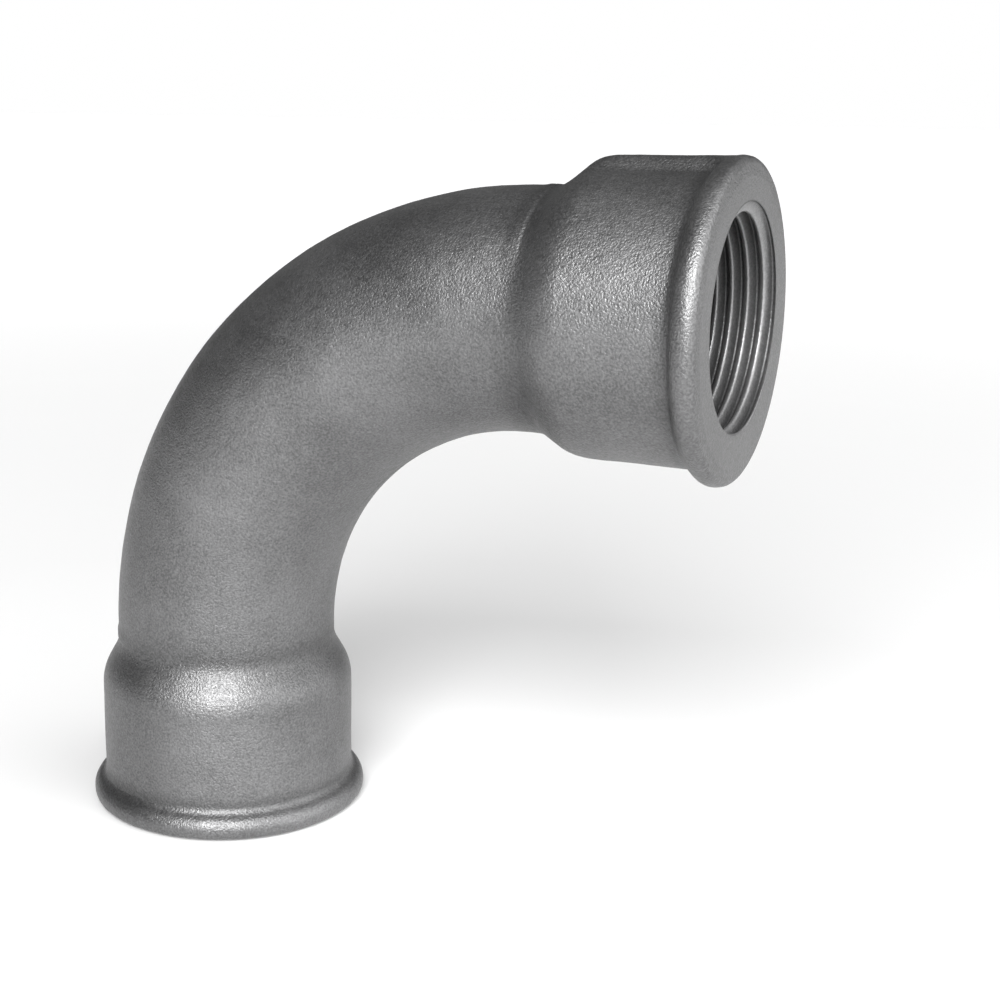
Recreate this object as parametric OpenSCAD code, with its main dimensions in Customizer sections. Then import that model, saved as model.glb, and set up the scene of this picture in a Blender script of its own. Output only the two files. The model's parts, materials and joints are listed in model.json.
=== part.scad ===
// Long sweep 90 degree bend for 1 inch pipe, one casting with a threaded socket at each end.
// The model divides the casting into five regions that meet face to face and never overlap:
// the swept tube, the two beaded sockets and the two threads.
//
// The lower port's face is centred on the origin, and its axis runs up +Z into the bend.
// The upper port's face is centred on [centre_to_face, 0, centre_to_face] and faces +X.
// Each socket and thread is drawn about +Z with its face at z = 0, then placed on its port.

/* [Bend] */
// Distance from each port's face to the other port's axis
centre_to_face = 85; // [85:1:120]
// Radius of the bend, to the middle of the tube
bend_radius = 55.5; // [40:0.5:56]
// Outside diameter of the swept tube
tube_od = 35.8; // [34:0.1:36]
// Diameter of the passage through the tube
passage_d = 28; // [24:0.1:29]

/* [Socket] */
// Outside diameter of the socket's barrel, behind the bead
socket_od = 41.5; // [41:0.1:43]
// Distance from the port's face to the start of the shoulder
socket_length = 19.8; // [19:0.1:20]
// Steepest angle of the shoulder, where the barrel narrows to the tube
shoulder_angle = 30; // [30:1:40]
// Radius that rounds the barrel over into the shoulder
shoulder_round = 8; // [4:0.5:8]
// Radius of the hollow corner where the shoulder meets the tube
shoulder_fillet = 1; // [0.5:0.1:1.5]

/* [Bead] */
// Outside diameter of the bead round the port's face
bead_od = 45.6; // [45:0.1:48]
// Radius of the bead's rounded section
bead_round = 2.4; // [2.2:0.1:3]
// Distance from the port's face to the bead's widest ring
bead_crown = 1.65; // [1:0.05:2]
// Radius of the hollow corner between the bead and the barrel
bead_fillet = 1; // [0.5:0.1:2]

/* [Gate land] */
// Width of the flat land ground along the outside of the upper socket
land_width = 5.6; // [4:0.1:7]
// How far the land lies below the bead's widest ring
land_drop = 0.4; // [0.1:0.1:0.6]
// Distance from the port's face to the end of the land's flat
land_length = 18.9; // [18:0.1:19.5]
// Steepest angle of the land's own shoulder
land_angle = 41; // [38:1:45]
// Radius that rounds the land over into its shoulder
land_round = 6.2; // [4:0.1:6.5]

/* [Thread] */
// Major diameter of the 1 inch parallel pipe thread
thread_major_d = 33.249; // [33.1:0.001:33.3]
// Minor diameter of the thread, across its crests
thread_minor_d = 30.291; // [30.2:0.001:30.5]
// Pitch of the thread, 11 turns to the inch
thread_pitch = 2.309; // [2.309:0.001:2.4]
// Angle between the thread's two flanks
flank_angle = 55; // [50:1:56]
// Number of full grooves
thread_turns = 7; // [4:1:7]
// Wall between the bottom of the thread and the outside of its region
thread_backing = 0.8; // [0.5:0.1:1]
// Width and depth of the bevel on the thread's mouth
mouth_bevel = 0.3; // [0.2:0.1:0.4]

/* [Hidden] */

$fn = 96;
CAST_COLOR = [0.45, 0.45, 0.46];
MACHINED_COLOR = [0.62, 0.62, 0.63];
// Straight steps in each drawn arc
ARC_STEPS = 10;

tube_r = tube_od / 2;
passage_r = passage_d / 2;
socket_r = socket_od / 2;
bead_r = bead_od / 2;
land_r = bead_r - land_drop;
crest_r = thread_minor_d / 2;
root_r = thread_major_d / 2;
seat_r = root_r + thread_backing;

// The straight stretch between a port's face and the end of the bend
straight_length = centre_to_face - bend_radius;
// The thread region's depth, and the length over which the bore then narrows to the passage
seat_depth = 18;
throat_length = 7;

// Points of an arc about c, in [radius, height] coordinates
function arc(c, radius, from, to) =
    [for (i = [0 : ARC_STEPS])
        let (a = from + (to - from) * i / ARC_STEPS)
        c + radius * [cos(a), sin(a)]];

// The bead's rounded section from the port's face back to the barrel
function bead_outline() =
    let (c = [bead_r - bead_round, bead_crown],
         reach = bead_round + bead_fillet,
         rise = socket_r + bead_fillet - c[0],
         run = sqrt(reach * reach - rise * rise),
         meet = atan2(run, rise))
    concat(
        arc(c, bead_round, -asin(bead_crown / bead_round), meet),
        arc(c + [rise, run], bead_fillet, 180 + meet, 180));

// A shoulder from radius r0 at height z0 down to the tube: round, cone and hollow corner
function shoulder_outline(r0, z0, angle, round) =
    let (cone_drop = r0 - tube_r - (round + shoulder_fillet) * (1 - cos(angle)),
         cone_end = z0 + round * sin(angle) + cone_drop / tan(angle),
         foot = cone_end + shoulder_fillet * sin(angle))
    concat(
        arc([r0 - round, z0], round, 0, angle),
        arc([tube_r + shoulder_fillet, foot], shoulder_fillet, 180 + angle, 180));

// An S from radius r0 at z0 to a smaller radius r1 at z1, tangent to the axis at both ends
function throat_outline(r0, z0, r1, z1) =
    let (drop = r0 - r1,
         run = z1 - z0,
         radius = (run * run + drop * drop) / (4 * drop),
         turn = 2 * atan(drop / run))
    concat(
        arc([r0 - radius, z0], radius, 0, turn),
        arc([r1 + radius, z1], radius, 180 + turn, 180));

function reversed(list) = [for (i = [len(list) - 1 : -1 : 0]) list[i]];

// Places a port's own parts on the upper port: up the port's axis becomes -X,
// and the port's own +X side comes to the top
module on_upper_port() {
    translate([centre_to_face, 0, centre_to_face])
        rotate([0, -90, 0])
            children();
}

// The swept tube: a quarter of a torus with the passage through it
module bend() {
    color(CAST_COLOR)
        translate([bend_radius, 0, straight_length])
            rotate([90, 0, 0])
                rotate([0, 0, 90])
                    rotate_extrude(angle = 90)
                        translate([bend_radius, 0])
                            difference() {
                                circle(r = tube_r);
                                circle(r = passage_r);
                            }
}

// Beaded socket with its shoulder, bored out to take the thread region
module socket() {
    outside = concat(
        bead_outline(),
        shoulder_outline(socket_r, socket_length, shoulder_angle, shoulder_round),
        [[tube_r, straight_length]]);
    inside = concat(
        [[seat_r, 0], [seat_r, seat_depth]],
        throat_outline(crest_r, seat_depth, passage_r, seat_depth + throat_length),
        [[passage_r, straight_length]]);
    color(CAST_COLOR)
        rotate_extrude()
            polygon(concat(outside, reversed(inside)));
}

// The flat land, on the port's +X side, from the bead to the foot of the shoulder.
// Its inner edge is buried in the socket's wall.
module gate_land() {
    top = concat([[land_r, bead_crown]],
                 shoulder_outline(land_r, land_length, land_angle, land_round));
    foot = top[len(top) - 1];
    color(CAST_COLOR)
        rotate([90, 0, 0])
            linear_extrude(land_width, center = true)
                polygon(concat(top, [[tube_r - 1, foot[1]], [seat_r + 1, socket_length],
                                     [seat_r + 1, bead_crown]]));
}

// The thread region: a ring of the casting with its grooves inside, at the thread's own pitch
module thread() {
    crest_half = thread_pitch / 4 + (root_r - crest_r) / 2 * tan(flank_angle / 2);
    root_half = thread_pitch / 4 - (root_r - crest_r) / 2 * tan(flank_angle / 2);
    first = mouth_bevel + thread_pitch / 2;
    grooves = [for (i = [0 : thread_turns - 1], side = [-1, 1])
        let (middle = first + i * thread_pitch,
             near = [crest_r, middle + side * crest_half],
             deep = [root_r, middle + side * root_half])
        for (p = side < 0 ? [near, deep] : [deep, near]) p];
    color(MACHINED_COLOR)
        rotate_extrude()
            polygon(concat(
                [[seat_r, 0], [crest_r + mouth_bevel, 0], [crest_r, mouth_bevel]],
                grooves,
                [[crest_r, seat_depth], [seat_r, seat_depth]]));
}

module lower_socket() {
    socket();
}

module upper_socket() {
    on_upper_port() {
        socket();
        gate_land();
    }
}

module lower_thread() {
    thread();
}

module upper_thread() {
    on_upper_port() thread();
}

bend();
lower_socket();
upper_socket();
lower_thread();
upper_thread();
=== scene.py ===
import json
import math

import bpy
import numpy as np
from mathutils import Matrix, Vector, noise


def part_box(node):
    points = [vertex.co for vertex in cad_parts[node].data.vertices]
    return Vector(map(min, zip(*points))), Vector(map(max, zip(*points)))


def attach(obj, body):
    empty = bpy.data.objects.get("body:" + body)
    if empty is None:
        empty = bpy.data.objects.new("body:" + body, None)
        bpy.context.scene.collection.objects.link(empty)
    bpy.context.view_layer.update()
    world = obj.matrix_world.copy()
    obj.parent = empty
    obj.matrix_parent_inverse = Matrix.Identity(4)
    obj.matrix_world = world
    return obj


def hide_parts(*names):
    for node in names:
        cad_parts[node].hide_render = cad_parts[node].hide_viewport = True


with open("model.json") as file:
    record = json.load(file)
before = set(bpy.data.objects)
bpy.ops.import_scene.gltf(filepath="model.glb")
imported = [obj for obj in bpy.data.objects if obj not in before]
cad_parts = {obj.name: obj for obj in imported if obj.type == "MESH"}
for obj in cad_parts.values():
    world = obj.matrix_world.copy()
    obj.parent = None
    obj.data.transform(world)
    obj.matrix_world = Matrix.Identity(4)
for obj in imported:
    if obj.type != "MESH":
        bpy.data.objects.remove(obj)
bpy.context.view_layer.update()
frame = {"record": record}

MM = 0.001
TAU = 2 * math.pi

# Sizes in millimetres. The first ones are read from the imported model.
mounts = {m["name"]: m for m in frame["record"]["mounts"]}
REACH = mounts["upper_port"]["pos_m"][0] / MM
CREST_R = mounts["upper_port"]["dims"]["r_mm"]
TUBE_R = (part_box("bend")[1].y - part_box("bend")[0].y) / 2 / MM
BEAD_R = (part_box("lower_socket")[1].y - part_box("lower_socket")[0].y) / 2 / MM
STRAIGHT = (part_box("lower_socket")[1].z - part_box("lower_socket")[0].z) / MM
SEAT_R = (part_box("lower_thread")[1].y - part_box("lower_thread")[0].y) / 2 / MM
SEAT_DEPTH = (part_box("lower_thread")[1].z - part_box("lower_thread")[0].z) / MM
BEND_R = REACH - STRAIGHT
MIDDLE = Vector((REACH / 2, 0, REACH / 2)) * MM

# These repeat the CAD model's own values
PASSAGE_R = 14.0
THROAT_LENGTH = 7.0
BARREL_R = 20.75
SOCKET_LENGTH = 19.8
SHOULDER_ANGLE = math.radians(30)
SHOULDER_ROUND = 8.0
BEAD_ROUND = 2.4
BEAD_CROWN = 1.65
LAND_R = BEAD_R - 0.4
LAND_LENGTH = 18.9
LAND_ANGLE = math.radians(41)
LAND_ROUND = 6.2
LAND_FILLET = 1.0
THREAD_PITCH = 2.309
THREAD_DEPTH = 1.479
HALF_FLANK = math.radians(27.5)
MOUTH_BEVEL = 0.3

# These are finer than the CAD model, or only here: the softer hollows, the sloped rim of the
# face, the land's half-widths and its rise towards the bead, and the thread's rounds and run-out
SHOULDER_FILLET = 5.5
BEAD_FILLET = 1.6
FACE_FLAT_R = 20.2
RIM_TURN = math.radians(4.3)
EDGE_ROUND = 1.2
LAND_TOP = 0.6
LAND_FOOT = 3.7
LAND_TAPER = 0.3
THREAD_ROUND = 0.317
THREAD_LENGTH = 17.0
THREAD_RUNOUT = 0.6

# The meshes' points: how many go all the way round, and how far apart the rows are
AROUND = 320
ROW_STEP = 0.45
PASSAGE_STEP = 0.9
THREAD_ROWS = 201


# ---------------------------------------------------------------- camera

CAM_AZ, CAM_EL, CAM_ROLL = (math.radians(a) for a in (27.007, 13.916, 0.294))
CAM_DIST = 264.33 * MM
CAM_ASIDE, CAM_ABOVE = -9.348 * MM, 12.221 * MM
CAM_LENS, CAM_SENSOR = 61.84, 36
CAM_SHIFT = 0.101


def make_camera():
    """The camera at the photograph's viewing angle, placed from the middle of the CAD reach."""
    back = Vector((math.sin(CAM_AZ) * math.cos(CAM_EL),
                   -math.cos(CAM_AZ) * math.cos(CAM_EL),
                   math.sin(CAM_EL)))
    right = Vector((math.cos(CAM_AZ), math.sin(CAM_AZ), 0))
    up = back.cross(right)
    target = MIDDLE + right * CAM_ASIDE + up * CAM_ABOVE
    side = right * math.cos(CAM_ROLL) + up * math.sin(CAM_ROLL)
    top = up * math.cos(CAM_ROLL) - right * math.sin(CAM_ROLL)
    data = bpy.data.cameras.new("camera")
    data.sensor_width = CAM_SENSOR
    data.lens = CAM_LENS
    data.shift_x = CAM_SHIFT
    data.clip_start, data.clip_end = 0.01, 20
    cam = bpy.data.objects.new("camera", data)
    place = Matrix((side, top, back)).transposed().to_4x4()
    place.translation = target + back * CAM_DIST
    cam.matrix_world = place
    bpy.context.scene.collection.objects.link(cam)
    bpy.context.scene.camera = cam


make_camera()


# ---------------------------------------------------------------- outlines
# Their points are [distance from the face, radius].

def arc(centre, radius, start, end, step):
    """Points of an arc, spaced about a step apart."""
    n = max(3, int(abs(end - start) * radius / step) + 1)
    a = np.linspace(start, end, n + 1)
    return np.stack([centre[0] + radius * np.sin(a), centre[1] + radius * np.cos(a)], 1)


def line(p, q, step):
    """Points of a straight line, spaced about a step apart."""
    n = max(1, int(math.dist(p, q) / step + 0.5))
    return np.linspace(p, q, n + 1)


def joined(*runs):
    """Runs of points end to end, with each shared end point once."""
    out = [runs[0]]
    for run in runs[1:]:
        keep = run[1:] if np.allclose(run[0], out[-1][-1], atol=1e-6) else run
        out.append(keep)
    return np.concatenate(out)


def shoulder_run(r0, start, turn, bulge, fillet, step=0.35):
    """From radius r0 at the end of a barrel, over the round, down the cone and into the tube."""
    drop = r0 - TUBE_R - (bulge + fillet) * (1 - math.cos(turn))
    over = arc((start, r0 - bulge), bulge, 0, turn, step)
    cone_end = over[-1] + np.array([drop / math.tan(turn), -drop])
    corner = (cone_end[0] + fillet * math.sin(turn), TUBE_R + fillet)
    foot = arc(corner, fillet, math.pi + turn, math.pi, 0.2)
    return joined(over, line(over[-1], cone_end, step), foot)


def skin_run():
    """The socket's skin from the face's edge, over the bead and along the barrel to the bend."""
    centre = (BEAD_CROWN, BEAD_R - BEAD_ROUND)
    # the small round between the face's rim and the bead, tangent to both
    reach = BEAD_ROUND - EDGE_ROUND
    depth = BEAD_CROWN - (centre[1] - FACE_FLAT_R) * math.tan(RIM_TURN)
    low = math.asin((depth * math.cos(RIM_TURN) - EDGE_ROUND) / reach) - RIM_TURN
    corner = (centre[0] - reach * math.sin(low), centre[1] + reach * math.cos(low))
    edge = arc(corner, EDGE_ROUND, RIM_TURN - math.pi / 2, -low, 0.08)
    rim = line((0.0, FACE_FLAT_R), edge[0], 0.3)
    rise = BARREL_R + BEAD_FILLET - centre[1]
    run = math.sqrt((BEAD_ROUND + BEAD_FILLET) ** 2 - rise ** 2)
    meet = math.atan2(run, rise)
    bead = arc(centre, BEAD_ROUND, -low, meet, 0.2)
    hollow = arc((centre[0] + run, centre[1] + rise), BEAD_FILLET,
                 math.pi + meet, math.pi, 0.15)
    shoulder = shoulder_run(BARREL_R, SOCKET_LENGTH, SHOULDER_ANGLE, SHOULDER_ROUND,
                            SHOULDER_FILLET)
    return joined(rim, edge, bead, hollow, line(hollow[-1], shoulder[0], ROW_STEP), shoulder,
                  line(shoulder[-1], (STRAIGHT, TUBE_R), ROW_STEP))


def throat_run(step=0.4):
    """From the end of the thread down to the passage and along it to the bend."""
    drop = CREST_R - PASSAGE_R
    radius = (THROAT_LENGTH ** 2 + drop ** 2) / (4 * drop)
    turn = 2 * math.atan(drop / THROAT_LENGTH)
    end = SEAT_DEPTH + THROAT_LENGTH
    first = arc((SEAT_DEPTH, CREST_R - radius), radius, 0, turn, step)
    second = arc((end, PASSAGE_R + radius), radius, math.pi + turn, math.pi, step)
    return joined(first, second, line((end, PASSAGE_R), (STRAIGHT, PASSAGE_R), PASSAGE_STEP))


# ---------------------------------------------------------------- the swept frame

PATH_LENGTH = 2 * STRAIGHT + BEND_R * math.pi / 2
# The columns' angles, from the bend's inside towards +Y
phi = np.arange(AROUND) * TAU / AROUND


def path_frame(s):
    """Centre and inward direction of the section at each distance s along the bend's axis."""
    turn = np.clip((s - STRAIGHT) / BEND_R, 0, math.pi / 2)
    past = np.maximum(s - (PATH_LENGTH - STRAIGHT), 0)
    before = np.minimum(s, STRAIGHT)
    zero = np.zeros_like(s)
    centre = np.stack([BEND_R * (1 - np.cos(turn)) + past, zero,
                       before + BEND_R * np.sin(turn)], -1)
    inward = np.stack([np.cos(turn), zero, -np.sin(turn)], -1)
    return centre, inward


def sweep(s, r):
    """Grid of points at distance s and radius r (rows), all the way round (columns), and the
    direction from the axis to each."""
    centre, inward = path_frame(np.asarray(s, float))
    sideways = np.array([0.0, 1.0, 0.0])
    spoke = (np.cos(phi)[None, :, None] * inward[:, None, :]
             + np.sin(phi)[None, :, None] * sideways)
    r = np.asarray(r, float)
    r = r[:, None] if r.ndim == 1 else r
    return centre[:, None, :] + r[..., None] * spoke, spoke


def grid_normals(points, outward=1.0):
    """Smooth normals of a grid that closes round its columns."""
    along = np.empty_like(points)
    along[1:-1] = points[2:] - points[:-2]
    along[0] = points[1] - points[0]
    along[-1] = points[-1] - points[-2]
    around = np.roll(points, -1, 1) - np.roll(points, 1, 1)
    n = np.cross(around, along) * outward
    return n / np.linalg.norm(n, axis=-1, keepdims=True)


# ---------------------------------------------------------------- the casting's unevenness

def field(points, size, offset):
    """Smooth noise over the points, from -1 to 1, with features of about a size in mm."""
    flat = points.reshape(-1, 3) / size + offset
    values = np.fromiter((noise.noise(p) for p in flat.tolist()), float, len(flat))
    return values.reshape(points.shape[:-1])


# The skin's waves: each one's size and height in mm, and where in the noise it is taken from
SKIN_WAVES = [(14.0, 0.075, 3.1), (5.0, 0.04, 17.7), (2.1, 0.022, 41.3), (1.1, 0.016, 73.9)]
SKIN_SUNK = 0.08


def cast_relief(points):
    """Height of the as-cast skin against its nominal surface in mm, which is never above 0."""
    relief = sum(height * field(points, size, offset) for size, height, offset in SKIN_WAVES)
    return np.minimum(relief - SKIN_SUNK, 0.0)


def fade(x, start, end):
    """From 0 at the start to 1 at the end, smoothly."""
    t = np.clip((x - start) / (end - start), 0, 1)
    return t * t * (3 - 2 * t)


# ---------------------------------------------------------------- mesh building

SHARP_ANGLE = math.radians(38)
WELD_GRID = 20000


def build_piece(name, patches, materials):
    """One closed mesh from grid patches. A patch gives its points and its material, and may give
    its normals, a shade from 0 to 1 and a flip that turns its faces over. Points in the same
    cell of the weld grid, which has WELD_GRID cells to the mm, become one."""
    verts, faces, mats, normals, shades = [], [], [], [], []
    base = 0
    for p in patches:
        rows, cols = p["points"].shape[:2]
        verts.append(p["points"].reshape(-1, 3))
        index = np.arange(rows * cols).reshape(rows, cols) + base
        a, b = index[:-1], index[1:]
        quads = np.stack([a, np.roll(a, -1, 1), np.roll(b, -1, 1), b], -1).reshape(-1, 4)
        if p.get("flip"):
            quads = quads[:, ::-1]
        faces.append(quads)
        mats.append(np.full(len(quads), p["material"]))
        given = p.get("normals")
        flat = np.zeros((rows * cols, 3)) if given is None else given.reshape(-1, 3)
        normals.append(flat)
        shades.append(np.broadcast_to(p.get("shade", 1.0), (rows, cols)).reshape(-1))
        base += rows * cols
    verts = np.concatenate(verts)
    faces = np.concatenate(faces)
    mats = np.concatenate(mats)
    normals = np.concatenate(normals)
    shades = np.concatenate(shades)

    keys = np.round(verts * WELD_GRID).astype(np.int64)
    _, first, where = np.unique(keys, axis=0, return_index=True, return_inverse=True)
    where = where.reshape(-1)
    loop_normals = normals[faces.reshape(-1)]
    welded = where[faces]

    mesh = bpy.data.meshes.new(name)
    mesh.from_pydata((verts[first] * MM).tolist(), [], welded.tolist())
    for m in materials:
        mesh.materials.append(m)
    mesh.polygons.foreach_set("material_index", mats.astype(np.int32))
    mesh.polygons.foreach_set("use_smooth", np.ones(len(mats), bool))
    mesh.set_sharp_from_angle(angle=SHARP_ANGLE)
    mesh.update()
    mesh.normals_split_custom_set(loop_normals.tolist())
    layer = mesh.attributes.new("shade", "FLOAT", "POINT")
    layer.data.foreach_set("value", shades[first].astype(np.float32))
    obj = bpy.data.objects.new(name, mesh)
    bpy.context.scene.collection.objects.link(obj)
    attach(obj, "root")
    return obj


def seat_ring(s):
    """The circle round the axis at s where the socket and the thread's ring meet."""
    points, _ = sweep([s], [SEAT_R])
    return points[0]


def bridge(row, to_row, rows):
    """A grid of straight lines from one row of points to another."""
    return np.stack([row + (to_row - row) * t for t in np.linspace(0, 1, rows)])


# ---------------------------------------------------------------- materials

def node_material(name, build):
    mat = bpy.data.materials.new(name)
    mat.use_nodes = True
    tree = mat.node_tree
    shader = tree.nodes["Principled BSDF"]
    build(tree, shader)
    return mat


class Nodes:
    """Short calls for making and joining shader nodes."""

    def __init__(self, tree):
        self.tree = tree
        self.where = self.add("ShaderNodeTexCoord").outputs["Object"]

    def add(self, kind, **settings):
        node = self.tree.nodes.new(kind)
        for key, value in settings.items():
            setattr(node, key, value)
        return node

    def join(self, a, b):
        self.tree.links.new(a, b)

    def shade(self):
        return self.add("ShaderNodeAttribute", attribute_name="shade").outputs["Fac"]

    def darker(self, color, factor):
        """The colour, scaled by a factor from 0 to 1."""
        n = self.add("ShaderNodeMix", data_type="RGBA", blend_type="MULTIPLY")
        n.inputs["Factor"].default_value = 1.0
        self.join(color, n.inputs["A"])
        self.join(factor, n.inputs["B"])
        return n.outputs["Result"]

    def noise(self, scale, detail, roughness):
        n = self.add("ShaderNodeTexNoise")
        n.inputs["Scale"].default_value = scale
        n.inputs["Detail"].default_value = detail
        n.inputs["Roughness"].default_value = roughness
        self.join(self.where, n.inputs["Vector"])
        return n.outputs["Fac"]

    def math(self, how, a, b=0.0):
        """One step of arithmetic, where a and b are each a number or a socket."""
        n = self.add("ShaderNodeMath", operation=how)
        for socket, value in zip(n.inputs, (a, b)):
            if isinstance(value, (int, float)):
                socket.default_value = value
            else:
                self.join(value, socket)
        return n.outputs["Value"]

    def ramp(self, value, *stops):
        """A near-neutral grey that follows a value, through stops of (position, grey)."""
        n = self.add("ShaderNodeValToRGB")
        elements = n.color_ramp.elements
        while len(elements) < len(stops):
            elements.new(0.5)
        for e, (at, shade) in zip(elements, stops):
            e.position = at
            e.color = (shade, shade, shade * 1.01, 1)
        self.join(value, n.inputs["Fac"])
        return n.outputs["Color"]

    def span(self, value, low, high, to_low, to_high):
        """The value moved from the range low to high into to_low to to_high."""
        n = self.add("ShaderNodeMapRange")
        for key, v in zip(("From Min", "From Max", "To Min", "To Max"),
                          (low, high, to_low, to_high)):
            n.inputs[key].default_value = v
        self.join(value, n.inputs["Value"])
        return n.outputs["Result"]

    def bump(self, height, distance):
        n = self.add("ShaderNodeBump")
        n.inputs["Distance"].default_value = distance
        self.join(height, n.inputs["Height"])
        return n.outputs["Normal"]


# Noise scales of the iron's surface, as features to the metre
FINE_SCALE, GRAIN_SCALE, LUMP_SCALE, STAIN_SCALE = 5600, 3000, 1250, 60
# The part of a noise's 0 to 1 that its values mostly fill
NOISE_LOW, NOISE_HIGH = 0.35, 0.65


def iron(tree, shader, relief, tones, rough, metallic):
    """Bare iron with a sandy grain: relief is the bump's depth in metres, tones and rough are the
    lowest and highest base colour and roughness."""
    n = Nodes(tree)
    fine = n.noise(FINE_SCALE, 1.0, 0.5)
    grain = n.noise(GRAIN_SCALE, 1.0, 0.5)
    lumps = n.noise(LUMP_SCALE, 1.0, 0.5)
    height = n.math("ADD", n.math("MULTIPLY", lumps, 0.3), grain)
    height = n.math("ADD", height, n.math("MULTIPLY", fine, 0.5))
    n.join(n.bump(height, relief), shader.inputs["Normal"])
    stain = n.noise(STAIN_SCALE, 4.0, 0.6)
    mixed = n.math("ADD", n.math("MULTIPLY", stain, 0.45), n.math("MULTIPLY", grain, 0.55))
    low, high = tones
    color = n.ramp(mixed, (NOISE_LOW, low), (NOISE_HIGH, high))
    # the base colour is darkened by the painted shade held in each mesh's shade attribute
    n.join(n.darker(color, n.shade()), shader.inputs["Base Color"])
    uneven = n.math("ADD", n.math("MULTIPLY", stain, 0.5), n.math("MULTIPLY", lumps, 0.5))
    n.join(n.span(uneven, NOISE_LOW, NOISE_HIGH, *rough), shader.inputs["Roughness"])
    shader.inputs["Metallic"].default_value = metallic


def cast_iron(tree, shader):
    iron(tree, shader, relief=0.00009, tones=(0.11, 0.212), rough=(0.38, 0.50), metallic=0.85)


def faced_iron(tree, shader):
    iron(tree, shader, relief=0.00006, tones=(0.125, 0.20), rough=(0.36, 0.46), metallic=0.85)


def cut_iron(tree, shader):
    iron(tree, shader, relief=0.00005, tones=(0.25, 0.37), rough=(0.34, 0.46), metallic=0.80)


CAST = node_material("as_cast_iron", cast_iron)
FACED = node_material("faced_iron", faced_iron)
CUT = node_material("cut_iron", cut_iron)


# ---------------------------------------------------------------- the skin, all in one, then split

# The land can only lie where the cosine of the angle from the outer side is over this
LAND_SIDE = 0.5
LIP_HEIGHT, SEAM_HEIGHT = 0.2, 0.12
# Painted shade in the hollows: how much it darkens, and where it lies behind the bead's crown
PAINTED_HOLLOW_SHADE = 0.28
HOLLOW_SHADE_BEHIND_CROWN = 3.4
BEAD_HOLLOW_SHADE_WIDTH, FOOT_HOLLOW_SHADE_WIDTH = 1.2, 2.6

skin = skin_run()
half_skin_s, half_skin_r = skin[:, 0], skin[:, 1]
bend_steps = int(BEND_R * math.pi / 2 / ROW_STEP)
bend_s = np.linspace(STRAIGHT, PATH_LENGTH - STRAIGHT, bend_steps + 1)
all_s = np.concatenate([half_skin_s, bend_s[1:-1], PATH_LENGTH - half_skin_s[::-1]])
all_r = np.concatenate([half_skin_r, np.full(bend_steps - 1, TUBE_R), half_skin_r[::-1]])
n_half = len(half_skin_s)

skin_r = np.repeat(all_r[:, None], AROUND, 1)

# The land along the outside of the upper socket, which faces away from the bend's inside
from_face = PATH_LENGTH - all_s
from_port = np.minimum(all_s, from_face)
land_line = joined(np.array([[BEAD_CROWN, LAND_R + LAND_TAPER]]),
                   shoulder_run(LAND_R, LAND_LENGTH, LAND_ANGLE, LAND_ROUND, LAND_FILLET))
land_height = np.interp(from_face, land_line[:, 0], land_line[:, 1])
on_land = (from_face >= BEAD_CROWN) & (from_face <= land_line[-1, 0])
aside = np.abs(np.sin(phi))[None, :] * skin_r
outer_side = np.cos(phi) < -LAND_SIDE
top = land_height[:, None] / np.maximum(-np.cos(phi)[None, :], LAND_SIDE)
share = 1 - fade(aside, LAND_TOP, LAND_FOOT)
land_r = skin_r + (np.maximum(top, skin_r) - skin_r) * share
skin_r = np.where(on_land[:, None] & outer_side[None, :], land_r, skin_r)

points, spoke = sweep(all_s, skin_r)
relief = cast_relief(points)

# A small lip left on the bend's outer side at the foot of each shoulder
foot = half_skin_s[np.argmax(half_skin_r < TUBE_R + 0.02)]
past_foot = from_port - foot
lip = fade(past_foot, -0.5, 0.0) * (1 - fade(past_foot, 0.9, 1.9))
lip = lip[:, None] * fade(-np.cos(phi), 0.35, 0.8)[None, :]
# The mould's parting line, along the bend's outer and inner sides
seam_line = 1 - fade(np.abs(np.sin(phi)[None, :] * skin_r), 0.15, 0.75)
# The line is worn away in places
seam_wear = np.clip(0.55 + 0.9 * field(points, 9.0, 57.1), 0.0, 1.0)
clear_of_bead = 1 - fade(skin_r, BARREL_R + 0.2, BARREL_R + 0.8)
raised = LIP_HEIGHT * lip + SEAM_HEIGHT * seam_line * seam_wear * clear_of_bead
points = points + spoke * (relief + raised)[..., None]
skin_normals = grid_normals(points)

# Painted shade darkens the hollows behind the beads and the foot of the shoulders
hollow_at = BEAD_CROWN + HOLLOW_SHADE_BEHIND_CROWN
bead_hollow_shade = np.exp(-((from_port - hollow_at) / BEAD_HOLLOW_SHADE_WIDTH) ** 2)
foot_hollow_shade = np.exp(-((from_port - foot) / FOOT_HOLLOW_SHADE_WIDTH) ** 2)
skin_shade = (1 - PAINTED_HOLLOW_SHADE * np.clip(bead_hollow_shade + foot_hollow_shade, 0, 1))[:, None]

# The rows of each piece, which share the row where they meet
lower = slice(0, n_half)
middle = slice(n_half - 1, n_half - 1 + len(bend_s))
upper = slice(n_half - 2 + len(bend_s), len(all_s))


# ---------------------------------------------------------------- the passage

PASSAGE_ROWS = 97
# Length behind the seat over which the passage takes on the as-cast unevenness
SMOOTH_START = 3.0
# Painted shade deep in the bore: how much the deep passage and the deep thread darken, and the
# depths where each starts and ends
DEEP_PAINTED_SHADE = 0.45
PASSAGE_DARK_SPAN = (12.0, 34.0)
THREAD_DARK_SPAN = (1.0, 12.0)

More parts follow.
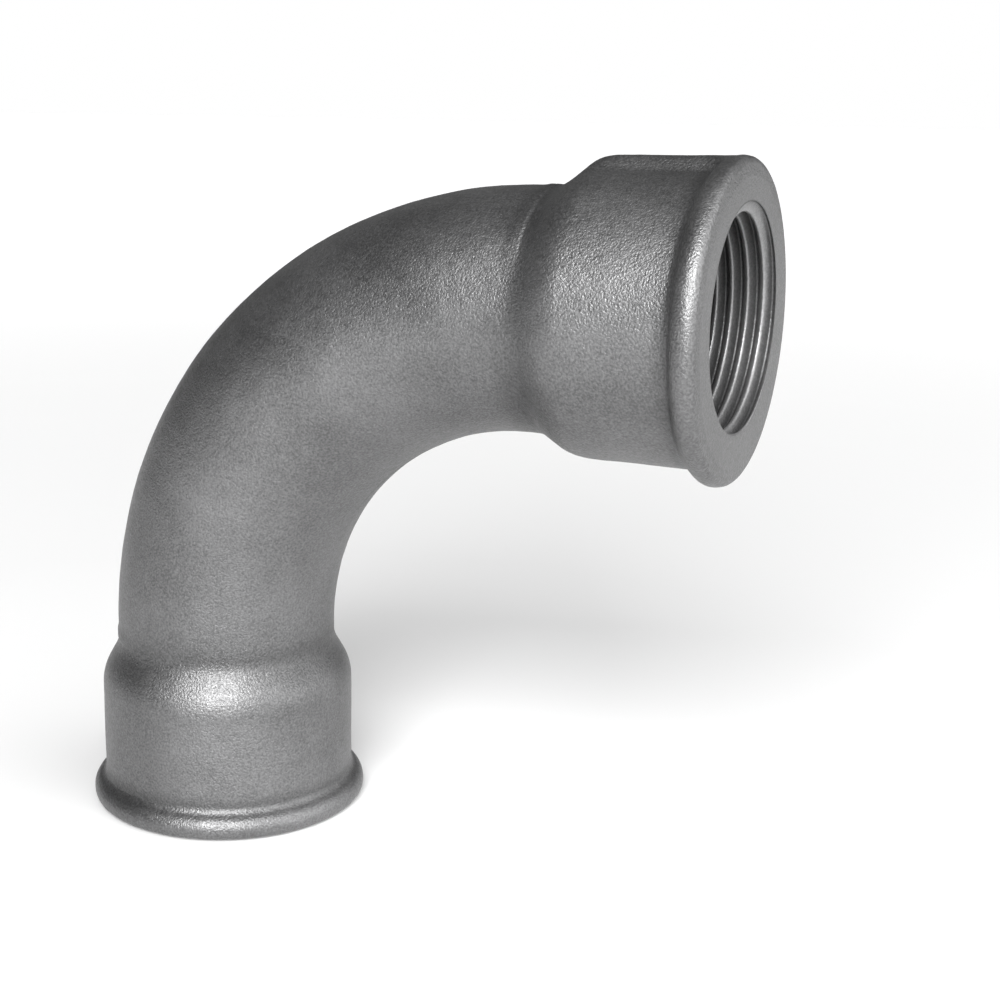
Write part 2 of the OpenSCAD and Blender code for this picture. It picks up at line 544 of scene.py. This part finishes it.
throat = throat_run()
bend_in_s = np.linspace(STRAIGHT, PATH_LENGTH - STRAIGHT, PASSAGE_ROWS)
in_s = np.concatenate([throat[:, 0], bend_in_s[1:-1], PATH_LENGTH - throat[::-1, 0]])
in_r = np.concatenate([throat[:, 1], np.full(len(bend_in_s) - 2, PASSAGE_R), throat[::-1, 1]])
n_throat = len(throat)
depth = np.minimum(in_s, PATH_LENGTH - in_s)
in_points, in_spoke = sweep(in_s, in_r)
in_relief = -cast_relief(in_points) * fade(depth, SEAT_DEPTH, SEAT_DEPTH + SMOOTH_START)[:, None]
in_points = in_points + in_spoke * in_relief[..., None]
in_normals = grid_normals(in_points, -1.0)
# painted shade, darker deeper in the passage
in_shade = (1 - DEEP_PAINTED_SHADE * fade(depth, *PASSAGE_DARK_SPAN))[:, None]

in_lower = slice(0, n_throat)
in_middle = slice(n_throat - 1, n_throat - 1 + len(bend_in_s))
in_upper = slice(n_throat - 2 + len(bend_in_s), len(in_s))


def wall_patch(outer_row, inner_row):
    """The hidden ring where two regions of the casting meet, from skin to passage."""
    return np.stack([outer_row, (outer_row + inner_row) / 2, inner_row])


def socket_piece(name, node, part, in_part, face_s, flip_ends):
    """A socket: skin, face ring, seat, throat and the hidden ring towards the bend. flip_ends says
    that its face is at the end of its rows, as the upper socket's is."""
    skin_points, in_part_points = points[part], in_points[in_part]
    at_face = skin_points[-1] if flip_ends else skin_points[0]
    at_bend = skin_points[0] if flip_ends else skin_points[-1]
    in_face = in_part_points[-1] if flip_ends else in_part_points[0]
    in_bend = in_part_points[0] if flip_ends else in_part_points[-1]
    seat_s = face_s + (-SEAT_DEPTH if flip_ends else SEAT_DEPTH)
    seat_mouth = seat_ring(face_s)
    seat_floor = seat_ring(seat_s)
    face = bridge(seat_mouth, at_face, 9)
    seat = bridge(seat_mouth, seat_floor, 5)
    floor = bridge(seat_floor, in_face, 3)
    wall = wall_patch(at_bend, in_bend)
    patches = [
        {"points": skin_points, "normals": skin_normals[part], "material": 0,
         "shade": skin_shade[part]},
        {"points": face, "material": 1, "flip": flip_ends},
        {"points": seat, "material": 1, "flip": not flip_ends},
        {"points": floor, "material": 1, "flip": not flip_ends},
        {"points": in_part_points, "normals": in_normals[in_part], "material": 0, "flip": True,
         "shade": in_shade[in_part]},
        {"points": wall, "material": 0, "flip": flip_ends},
    ]
    piece = build_piece(name, patches, [CAST, FACED])
    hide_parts(node)


def bend_piece():
    """The swept tube: skin, passage and the hidden rings towards the sockets."""
    skin_points, in_part_points = points[middle], in_points[in_middle]
    patches = [
        {"points": skin_points, "normals": skin_normals[middle], "material": 0,
         "shade": skin_shade[middle]},
        {"points": in_part_points, "normals": in_normals[in_middle], "material": 0, "flip": True,
         "shade": in_shade[in_middle]},
        {"points": wall_patch(skin_points[0], in_part_points[0]), "material": 0, "flip": True},
        {"points": wall_patch(skin_points[-1], in_part_points[-1]), "material": 0},
    ]
    piece = build_piece("swept_tube", patches, [CAST])
    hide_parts("bend")


bend_piece()
socket_piece("lower_socket_casting", "lower_socket", lower, in_lower, 0.0, False)
socket_piece("upper_socket_casting", "upper_socket", upper, in_upper, PATH_LENGTH, True)


# ---------------------------------------------------------------- threads

# Painted shade in the thread's grooves: how light the roots are, and how the shade climbs from them
# to the crests
ROOT_SHADE = 0.35
SHADE_CURVE = 0.55


def thread_profile(phase):
    """Height of the thread's surface above its root, in mm, at each phase of a pitch. The groove's
    middle is at phase 0, and the crests and roots are rounded."""
    t = np.abs((phase + 0.5) % 1.0 - 0.5) * THREAD_PITCH
    slope = math.tan(HALF_FLANK)
    flank = t / slope
    # the rounds' centres, measured from the root's lowest and the crest's highest point
    r = THREAD_ROUND
    reach = r * math.cos(HALF_FLANK)
    root = r - np.sqrt(np.maximum(r * r - t * t, 0))
    far = THREAD_PITCH / 2 - t
    crest = THREAD_DEPTH - (r - np.sqrt(np.maximum(r * r - far * far, 0)))
    offset = (r - r * math.sin(HALF_FLANK)) - reach / slope
    straight = flank + offset
    return np.where(t < reach, root, np.where(far < reach, crest, straight))


def thread_piece(name, node, face_s, way, start):
    """A ring with a right-hand helical groove, from the face at face_s the way (1 or -1) that leads
    inwards. start is the angle at which the groove's middle crosses the face."""
    z = np.linspace(0, SEAT_DEPTH, THREAD_ROWS)
    advance = (phi - start) / TAU * way
    phase = z[:, None] / THREAD_PITCH - advance[None, :]
    height = thread_profile(phase)
    full = 1 - fade(z, THREAD_LENGTH - THREAD_RUNOUT, THREAD_LENGTH + THREAD_RUNOUT)[:, None]
    r = CREST_R + (THREAD_DEPTH - height) * full
    r = np.maximum(r, CREST_R + MOUTH_BEVEL - z[:, None])
    inner, _ = sweep(face_s + way * z, r)
    # painted shade: the roots are darker than the crests
    raised = np.clip(1 - (r - CREST_R) / THREAD_DEPTH, 0, 1)
    shade = ROOT_SHADE + (1 - ROOT_SHADE) * raised ** SHADE_CURVE
    # painted shade, darker further into the thread
    shade = shade * (1 - DEEP_PAINTED_SHADE * fade(z, *THREAD_DARK_SPAN))[:, None]
    ahead = way > 0
    if not ahead:
        inner, shade = inner[::-1], shade[::-1]
    mouth, back = (inner[0], inner[-1]) if ahead else (inner[-1], inner[0])
    seat_mouth = seat_ring(face_s)
    seat_back = seat_ring(face_s + way * SEAT_DEPTH)
    face = bridge(mouth, seat_mouth, 4)
    outer = bridge(seat_mouth, seat_back, 5)
    floor = bridge(seat_back, back, 3)
    patches = [
        {"points": inner, "normals": grid_normals(inner, -1.0), "material": 0, "flip": True,
         "shade": shade},
        {"points": face, "material": 1, "flip": not ahead},
        {"points": outer, "material": 0, "flip": not ahead},
        {"points": floor, "material": 0, "flip": not ahead},
    ]
    piece = build_piece(name, patches, [CUT, FACED])
    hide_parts(node)


thread_piece("lower_thread_turns", "lower_thread", 0.0, 1, math.radians(40))
thread_piece("upper_thread_turns", "upper_thread", PATH_LENGTH, -1, math.radians(190))


# ---------------------------------------------------------------- floor, walls and light

def direction(azimuth, elevation):
    """Unit vector towards an azimuth, where 0 is the front (-Y) and 90 the right, in degrees."""
    a, e = math.radians(azimuth), math.radians(elevation)
    return Vector((math.sin(a) * math.cos(e), -math.cos(a) * math.cos(e), math.sin(e)))


FLOOR_TONE = 0.76
NEAR_FLOOR_GLOW, FAR_FLOOR_GLOW = 0.05, 0.55
# In metres: where the glow starts to rise and is full, half the floor's width, and the gap
# that keeps it just under the lower face
GLOW_START, GLOW_FULL = 0.15, 0.9
FLOOR_HALF = 4.0
FLOOR_GAP = 0.0002


def make_floor():
    mesh = bpy.data.meshes.new("floor")
    w = FLOOR_HALF
    mesh.from_pydata([(-w, -w, 0), (w, -w, 0), (w, w, 0), (-w, w, 0)], [], [(0, 1, 2, 3)])
    floor = bpy.data.objects.new("floor", mesh)
    floor.location.z = -FLOOR_GAP
    bpy.context.scene.collection.objects.link(floor)
    mat = bpy.data.materials.new("floor_paper")
    mat.use_nodes = True
    shader = mat.node_tree.nodes["Principled BSDF"]
    shader.inputs["Base Color"].default_value = (FLOOR_TONE, FLOOR_TONE, FLOOR_TONE, 1)
    shader.inputs["Roughness"].default_value = 0.9
    # the far floor is lit like the pale wall that it runs up to
    n = Nodes(mat.node_tree)
    away = n.add("ShaderNodeVectorMath", operation="LENGTH")
    n.join(n.where, away.inputs[0])
    shader.inputs["Emission Color"].default_value = (1, 1, 1, 1)
    n.join(n.span(away.outputs["Value"], GLOW_START, GLOW_FULL, NEAR_FLOOR_GLOW, FAR_FLOOR_GLOW),
           shader.inputs["Emission Strength"])
    mesh.materials.append(mat)


# The softbox: the way to it from the object's middle, how far off it is, its side and its power
KEY_WAY = direction(18, 32)
KEY_AWAY = 0.8
KEY_SIDE = 0.42
KEY_WATTS = 10.5


def make_key_light():
    data = bpy.data.lights.new("key", "AREA")
    data.shape = "RECTANGLE"
    data.size = data.size_y = KEY_SIDE
    data.energy = KEY_WATTS
    lamp = bpy.data.objects.new("key", data)
    lamp.location = MIDDLE + KEY_AWAY * KEY_WAY
    lamp.rotation_mode = "QUATERNION"
    lamp.rotation_quaternion = (MIDDLE - lamp.location).to_track_quat("-Z", "Y")
    bpy.context.scene.collection.objects.link(lamp)


# Broad soft lights of the room: azimuth, elevation, strength and tightness
ROOM_LIGHTS = [
    (100, 12, 2.6, 5),
    (40, 0, 1.0, 6),
    (72, 40, 1.7, 6),
    (-5, 45, 0.35, 8),
    (-140, 20, 0.15, 7),
]
WALL_TONE = 1.0


def make_world():
    """A dim room with broad lights in front and to the right. The camera sees it as pale walls."""
    world = bpy.data.worlds.new("studio")
    world.use_nodes = True
    n = Nodes(world.node_tree)
    way = n.add("ShaderNodeTexCoord").outputs["Generated"]

    def towards(aim):
        dot = n.add("ShaderNodeVectorMath", operation="DOT_PRODUCT")
        dot.inputs[1].default_value = aim
        n.join(way, dot.inputs[0])
        return dot.outputs["Value"]

    total = 0.0
    for azimuth, elevation, strength, tightness in ROOM_LIGHTS:
        short = n.math("SUBTRACT", towards(direction(azimuth, elevation)), 1.0)
        glow = n.math("EXPONENT", n.math("MULTIPLY", short, tightness))
        total = n.math("ADD", total, n.math("MULTIPLY", glow, strength))
    backdrop = world.node_tree.nodes["Background"]
    backdrop.inputs["Color"].default_value = (1, 1, 1, 1)
    seen = n.add("ShaderNodeLightPath").outputs["Is Camera Ray"]
    unseen = n.math("SUBTRACT", 1.0, seen)
    room = n.math("MULTIPLY", total, unseen)
    walls = n.math("MULTIPLY", seen, WALL_TONE)
    n.join(n.math("ADD", room, walls), backdrop.inputs["Strength"])
    bpy.context.scene.world = world


make_floor()
make_key_light()
make_world()
bpy.context.scene.view_settings.view_transform = "Standard"
